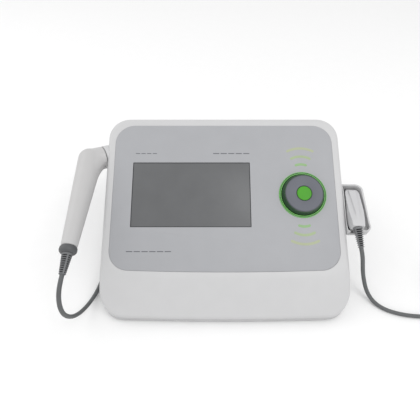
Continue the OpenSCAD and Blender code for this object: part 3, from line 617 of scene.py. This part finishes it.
cover = add("cover", housing_cover(), DEVICE, WHITE, 30)
rear = DEVICE @ shift(0, REAR_Y, 55) @ turn("X", 90)
combine(cover, [
    add("cut", slab(box_outline(240, 56, 4), -20, 20), rear, WHITE),
    add("cut", slab(box_outline(256.4, 72.4, 4), -1, 1.6), rear, WHITE),
    add("cut", lathe([(0, CUP_MOUTH - 3), (CUP_R + 3.15, CUP_MOUTH - 3), (CUP_R + 3.15, CUP_END + 0.2),
                      (0, CUP_END + 0.2)]), HEAD, WHITE),
])
smooth(cover, 30)
piece(cover, "housing", "white_shell", "upper_cover")

# ---------------------------------------------------------------- operating panel


def screen_outline(t, r):
    """The display's outline, moved inwards by t, with corners of radius r."""
    return box_outline(SCREEN_W - 2 * t, SCREEN_H - 2 * t, r, SCREEN_X, SCREEN_V)


overlay_rim = outline_with_normals(OVERLAY_HALF, OVERLAY_V0, OVERLAY_V1, OVERLAY_R, FRONT_BOW)
overlay = add("overlay", slab([tuple(p) for p, _ in overlay_rim], -OVERLAY_T, 0, 0.3), PANEL, PANEL_GREY, 50)
combine(overlay, [
    add("cut", slab(screen_outline(-0.1, 0.8), -5, 5), PANEL, PANEL_GREY),
    add("cut", lathe([(0, -5), (RING_R + 0.05, -5), (RING_R + 0.05, 5), (0, 5)], 128), DIAL, PANEL_GREY),
])
smooth(overlay, 30)
piece(overlay, "housing", "grey_panel", "panel_overlay")

window = add("window", slab(screen_outline(EDGE_SHADE_T, 0.4), -1.7, -0.45, 0.1), PANEL, SCREEN)
piece(window, "housing", "screen_glass", "screen_window")
# Painted shade: a near-black frame round the display stands for the shadow of the recess it sits in; the window is
# inset by the frame's width
edge_shade_frame = add("window_edge_shade", slab(screen_outline(0, 0.7), -1.6, -0.3, 0.1), PANEL, EDGE_SHADE_BLACK)
combine(edge_shade_frame, [add("cut", slab(screen_outline(EDGE_SHADE_T, 0.4), -5, 5), PANEL, EDGE_SHADE_BLACK)])
smooth(edge_shade_frame, 30)
piece(edge_shade_frame, "housing")

PRINT_H = 0.04


def arc_band(centre, r, width, half_angle, up, steps=24):
    """A printed arc with round ends, above its centre or below it."""
    edge = []
    for side in (1, -1):
        for k in range(steps + 1):
            a = math.radians(half_angle) * (1 - 2 * k / steps) * side
            rr = r + side * width / 2
            edge.append((centre[0] + rr * math.sin(-a), centre[1] + up * rr * math.cos(a)))
        end = math.radians(half_angle) * side
        mid = (centre[0] + r * math.sin(end), centre[1] + up * r * math.cos(end))
        for k in range(1, 6):
            a = math.pi * k / 6
            out = Vector((math.sin(end), up * math.cos(end))) * side
            along = Vector((math.cos(end), -up * math.sin(end))) * side
            edge.append(tuple(Vector(mid) + (out * math.cos(a) + along * math.sin(a)) * width / 2))
    if up < 0:
        edge = edge[::-1]
    return edge[::-1]


# Radius, distance of the arc's top from the dial's centre, half angle and colour
WAVES = (
    (19, 41.5, 20, (0.26, 0.42, 0.20)),
    (26, 52.5, 28, (0.34, 0.42, 0.25)),
    (37, 64, 27, (0.385, 0.42, 0.28)),
)
WAVE_W = 3.3
for up, word in ((1, "upper"), (-1, "lower")):
    for i, (r, reach, half_angle, colour) in enumerate(WAVES):
        ink = surface(f"wave_ink_{word}_{i}", colour, 0.55, 0.25, 0.004)
        band = arc_band((DIAL_X, DIAL_V + up * (reach - r)), r, WAVE_W, half_angle, up)
        mark = add(f"wave_{word}_{i + 1}", slab(band, -0.2, PRINT_H), PANEL, ink)
        piece(mark, "housing")

# Rows of plain dashes where such a unit carries print: middle, width, height and count
MARKS = ((-103, 77, 30, 2.6, 4), (10, 77, 50, 3.2, 5), (-95, -53, 58, 3, 6))
for i, (x, v, width, height, count) in enumerate(MARKS):
    pitch = width / count
    for k in range(count):
        dash = box_outline(pitch - 1.6, height * 0.4, height * 0.19, x - width / 2 + pitch * (k + 0.5), v)
        mark = add(f"print_{i + 1}_{k + 1}", slab(dash, -0.2, PRINT_H), PANEL, PRINT_GREY)
        piece(mark, "housing")

# ---------------------------------------------------------------- dial

ring = add("dial_surround", lathe([
    (27.8, -1.2), (RING_R, -1.2), (RING_R, 0.85), (30.4, 1.1), (30.2, 1.2), (29.95, 1.2), (29.75, 1.05),
    (29.7, 0.4), (28.8, 0.4), (28.75, 1.05), (28.55, 1.2), (28.1, 1.2), (27.9, 1.1), (27.8, 0.9)],
    160, closed=True), DIAL, RING_GREEN)
piece(ring, "housing", "green_ring", "dial_ring")
# Painted shade: a dark green ring in the bottom of the surround's groove darkens the groove
groove_shade = add("dial_groove_shade", lathe(
    [(28.85, 0.3), (29.65, 0.3), (29.65, 0.75), (28.85, 0.75)], 160, closed=True), DIAL, DARK_GREEN)
piece(groove_shade, "housing")

skirt = add("dial_skirt", lathe(
    rounded([(3.02, 1, 0), (3.02, DIAL_H - 2.4, 0), (9.4, DIAL_H - 2.4, 0.2), (9.4, DIAL_H - 0.35, 0.15),
             (10, DIAL_H - 0.35, 0.15), (10, DIAL_H - 1, 0), (24.2, DIAL_H - 1, 0.2),
             (24.9, DIAL_H - 1.1, 0.3), (DIAL_R, 2.6, 0.8), (DIAL_R, 0.5, 0.3), (22.8, 0.5, 0),
             (22.8, DIAL_H - 3, 0), (6.4, DIAL_H - 3, 0), (6.4, 1, 0)]), 160, closed=True), DIAL, DARK_GREEN)
piece(skirt, "dial", "dial_dark", "dial_body")
disc = add("dial_disc", lathe(
    rounded([(10.1, DIAL_H - 1, 0), (10.1, DIAL_H - 0.15, 0.2), (23, DIAL_H, 0.5), (23.9, DIAL_H - 0.5, 0.3),
             (23.9, DIAL_H - 1, 0)]), 160, closed=True), DIAL, DIAL_GREY)
piece(disc, "dial", "dial_grey", "dial_face")
cap = add("dial_centre", lathe(
    [(0, DIAL_H - 1), (9.1, DIAL_H - 1), (9.1, DIAL_H - 0.25), (8.95, DIAL_H - 0.05), (8.6, DIAL_H + 0.05),
     (6, DIAL_H + 0.12), (3, DIAL_H + 0.17), (0, DIAL_H + 0.2)], 96), DIAL, CAP_GREEN)
piece(cap, "dial", "dial_green", "dial_cap")

# ---------------------------------------------------------------- handpiece


def halves(solid, place, across, gap, body_name, slot, sides):
    """Splits a closed solid along the seam through a place's origin into two shells of one body."""
    normal = (place.to_3x3() @ Vector(across)).normalized()
    for name, side, cad in sides:
        piece(half(solid, name, place @ Vector((0, 0, 0)), normal * side, gap), body_name, slot, cad)
    bpy.data.objects.remove(solid)


def handpiece_body():
    """Handle, elbow and neck as one rounded solid."""
    handle_end = BOOT_Z + 1.4
    taper = add("handpiece_body", lathe(
        [(0, 0), (HANDLE_R, 0), (HANDLE_END_R, handle_end), (0, handle_end)], 96), HANDLE, PROBE_WHITE)
    neck = add("neck", lathe(
        [(0, 0), (RIM_R - 0.8, 0), (RIM_R, RIM_END), (HEAD_R + 0.2, RIM_END), (HEAD_R + 0.2, NECK_LEN),
         (0, NECK_LEN)], 96), HEAD, PROBE_WHITE)
    # The inside of the elbow is filled by a bent tube that cuts its corner
    inverse_bend = BEND.inverted()
    along = inverse_bend @ HANDLE @ Vector((0, 0, 44))
    across = inverse_bend @ HEAD @ Vector((0, 0, 17))
    path = [along * (1 - k / 12) ** 2 + across * (k / 12) ** 2 for k in range(13)]
    radii = [13 + 1.8 * k / 12 for k in range(13)]
    fillet = add("fillet", sweep(path, radii, 48), BEND, PROBE_WHITE)
    combine(taper, [add("elbow", ball(HANDLE_R, (0, 0, 0)), BEND, PROBE_WHITE), neck, fillet], "UNION")
    return soften(taper, 0.7, 26)


halves(handpiece_body(), HANDLE, (0, 1, 0), 0.00006, "handpiece", "handpiece_white", (
    ("handpiece_top", 1, "handpiece_upper_shell"), ("handpiece_under", -1, "handpiece_lower_shell")))

boot = add("handpiece_collar", lathe(
    rounded([(3, 1.3, 0), (8.6, 1.3, 0.4), (9.7, 3, 2), (9.9, 5.6, 3), (9.6, 7.4, 3), (8.3, 9.5, 2),
             (6.6, 10.1, 0.5), (3, 10.1, 0)], 6), 96, closed=True), HANDLE @ shift(0, 0, BOOT_Z), COLLAR)
piece(boot, "handpiece", "collar_grey", "handpiece_boot")


def ribbed_relief(name, r0, r1, length, place, body_name, cad):
    """A tapered sleeve of rings on a thin core, joined by a web along its front and its back. The core is near
    black: painted shade in the slots between the rings.
    """
    rows, gap = 9, 0.62
    pitch = (length - 1.4) / rows
    profile = [(2.55, -1.1), (r0 - 0.2, -1.1), (r0, -0.9)]
    for k in range(rows):
        low = 1.2 + pitch * k
        high = low + pitch * gap
        for z, ridge in ((low, True), (low + 0.12, False), (high - 0.12, False), (high, True)):
            full = r0 + (r1 - r0) * z / length
            profile.append((full if ridge else max(2.6, full - 1.9), z))
    profile += [(r1, length - 0.3), (r1 - 0.3, length), (2.55, length)]
    sleeve = add(name, lathe(profile, 64, closed=True), place, RELIEF)
    for side in (-1, 1):
        depth = [(side * 2.9, 0.6), (side * (r0 - 0.05), 0.6), (side * (r1 - 0.05), length - 0.6),
                 (side * 2.9, length - 0.6)]
        web = [[(x, y, z) for y, z in depth] for x in (-0.8, 0.8)]
        combine(sleeve, [add("web", loft(web), place, RELIEF)], "UNION")
    smooth(sleeve, 30)
    # Painted shade: the core is near black so that the slots between the rings read dark
    slot_shade_wall = [(r0 - 1.5, 1), (2.75, length - 1.5), (2.5, length - 1.5), (2.5, 1)]
    slot_shade = add(name + "_slot_shade", lathe(slot_shade_wall, 64, closed=True), place, RELIEF_SLOT_SHADE)
    piece(slot_shade, body_name)
    piece(sleeve, body_name, "relief_rubber", cad)


ribbed_relief("handpiece_sleeve", 5.9, 3.8, RELIEF_LEN,
              HANDLE @ shift(0, 0, BOOT_Z + BOOT_LEN) @ turn("Z", -36), "handpiece",
              "handpiece_strain_relief")
ribbed_relief("applicator_sleeve", 5.6, 3.6, APP_RELIEF_LEN, APP_RELIEF @ turn("Z", 60), "applicator",
              "applicator_strain_relief")

# ---------------------------------------------------------------- cradle and applicator


def cradle_plan(t):
    left = CRADLE_X0 + CRADLE_BACK_T if t else CRADLE_X0
    return rounded([
        (left, CRADLE_Y0 + t, 0), (CRADLE_X1 - t, CRADLE_Y0 + t, 8 - t),
        (CRADLE_X1 - CRADLE_TAPER - t, CRADLE_Y1 - t, 10 - t), (left, CRADLE_Y1 - t, 0)], 10, closed=True)


def side_profile(points, width=100):
    """A solid of a side view, (y, z) points, as wide as width along x."""
    return loft([[(x, y, z) for y, z in points] for x in (-width / 2, width / 2)])


cradle = add("cradle", slab(cradle_plan(0), CRADLE_Z0, CRADLE_Z1), CRADLE, WHITE)
combine(cradle, [
    add("pocket", slab(cradle_plan(CRADLE_T), CRADLE_Z0 + CRADLE_T, 60), CRADLE, WHITE),
    add("open_front", side_profile([
        (CRADLE_Y0 - 5, -6.5), (CRADLE_Y0 + 12, -4.5), (CRADLE_Y1 - 9, CRADLE_Z1), (CRADLE_Y1 - 9, 40),
        (CRADLE_Y0 - 5, 40)]), CRADLE, WHITE),
    add("cord_gap", block(14, 10, 40, 0.5, CRADLE_Y0, 9), CRADLE, WHITE),
])
soften(cradle, 0.45, 6)
piece(cradle, "housing", "white_shell", "side_cradle")
# Painted shade: near-black sheets on the pocket's floor and on its wall beside the housing stand for the deep
# shadow between the applicator and the housing
wall_x = CRADLE_X0 + CRADLE_BACK_T
pocket_floor_shade = add("cradle_floor_shade", block(8, 50, 0.5, wall_x + 4, 30, CRADLE_Z0 + CRADLE_T + 0.3), CRADLE, FOOT_AND_SHADE_BLACK)
wall_shade_side = [(CRADLE_Y0 + CRADLE_T, -12.4), (56, -12.4), (56, CRADLE_Z1 - 0.4),
            (CRADLE_Y1 - 9, CRADLE_Z1 - 0.4), (CRADLE_Y0 + 12, -4.9), (CRADLE_Y0 + CRADLE_T, -6.6)]
pocket_wall_shade = add("cradle_wall_shade", side_profile(wall_shade_side, 0.4), CRADLE @ shift(wall_x + 0.2, 0, 0), FOOT_AND_SHADE_BLACK)
piece(pocket_floor_shade, "housing")
piece(pocket_wall_shade, "housing")


def applicator_body():
    """The plan's outline cut to the side view, with its upper edges cut back to leave a raised middle."""
    w = APP_HALF
    plan = [(-7.4, 0), (7.4, 0), (w, 22)]
    for k in range(25):
        a = math.pi * k / 24
        plan.append((w * math.cos(a), APP_LEN - w + w * math.sin(a)))
    plan.append((-w, 22))
    solid = add("applicator_body", slab(plan, -20, 20), APPLICATOR, APP_WHITE)
    side = [(0, -5), (12, -8.6), (APP_LEN - 8, -8.6)]
    for k in range(9):
        a = math.pi / 2 * k / 8
        side.append((APP_LEN - 8 + 8 * math.cos(a), 1.4 + 8 * math.sin(a)))
    side += [(20, 9.4), (0, 6)]
    combine(solid, [add("profile", side_profile(side, 60), APPLICATOR, APP_WHITE)], "INTERSECT")
    shoulders = [[(s * x, y) for x, y in ((1.8, 8), (5.4, 60), (14, 60), (14, 4))][::s] for s in (1, -1)]
    combine(solid, [add("shoulder", slab(s, 7.3, 20), APPLICATOR, APP_WHITE) for s in shoulders])
    return soften(solid, 0.45, 14)


halves(applicator_body(), APPLICATOR, (0, 0, 1), 0.00005, "applicator", "applicator_white", (
    ("applicator_top", 1, "applicator_upper_shell"), ("applicator_under", -1, "applicator_lower_shell")))

# ---------------------------------------------------------------- CAD nodes that stay

# Width of the bevel on each node's edges, mm
EDGES = {
    "base_tray": 0.8, "rubber_feet": 0.5, "rear_panel": 0.3, "mains_inlet": 0.3, "rocker_frame": 0.3,
    "power_rocker": 0.3, "fuse_drawer": 0.25, "handpiece_plug": 0.4, "applicator_plug": 0.4,
    "treatment_head": 0.4, "holder_cup": 0.8, "applicator_head": 0.3, "output_sockets": 0.25,
    "coil_ties": 0.2,
}
slots = {row["node"]: row["material_slot"] for row in frame["record"]["subparts"]}
for name, node in nodes.items():
    if node.hide_render:
        continue
    node.data.materials.clear()
    node.data.materials.append(BY_SLOT[slots[name]])
    join = node.modifiers.new("join", "WELD")
    join.merge_threshold = 0.00001
    flat = node.modifiers.new("flat", "DECIMATE")
    flat.decimate_type = "DISSOLVE"
    flat.angle_limit = math.radians(1)
    if name in EDGES:
        edge = node.modifiers.new("edge", "BEVEL")
        edge.width = EDGES[name] / 1000
        edge.segments = 2
        edge.angle_limit = math.radians(35)

# ---------------------------------------------------------------- floor and light

FLOOR_HALF = 6000
floor_corners = [(x * FLOOR_HALF, y * FLOOR_HALF, 0) for x, y in ((-1, -1), (1, -1), (1, 1), (-1, 1))]
paper = surface("floor", (0.9, 0.9, 0.9), 0.8, 4, 0.01, 0.004)
floor = add("floor", (floor_corners, [(0, 1, 2, 3)]), DEVICE, paper)


def area_light(name, at, target, size, power):
    light = bpy.data.objects.new(name, bpy.data.lights.new(name, "AREA"))
    light.data.shape = "DISK"
    light.data.size = size
    light.data.energy = power
    light.location = at
    light.rotation_euler = (Vector(target) - Vector(at)).to_track_quat("-Z", "Y").to_euler()
    scene.collection.objects.link(light)


area_light("key", (0.7, -0.5, 1.5), (0, 0, 0.05), 1.2, 7)
area_light("fill", (-1.2, 0.3, 1.0), (-0.1, 0, 0.08), 1.4, 4)
world = bpy.data.worlds.new("studio")
scene.world = world
world.use_nodes = True
world.node_tree.nodes["Background"].inputs["Color"].default_value = (1, 1, 1, 1)
world.node_tree.nodes["Background"].inputs["Strength"].default_value = 0.9
scene.view_settings.view_transform = "Standard"
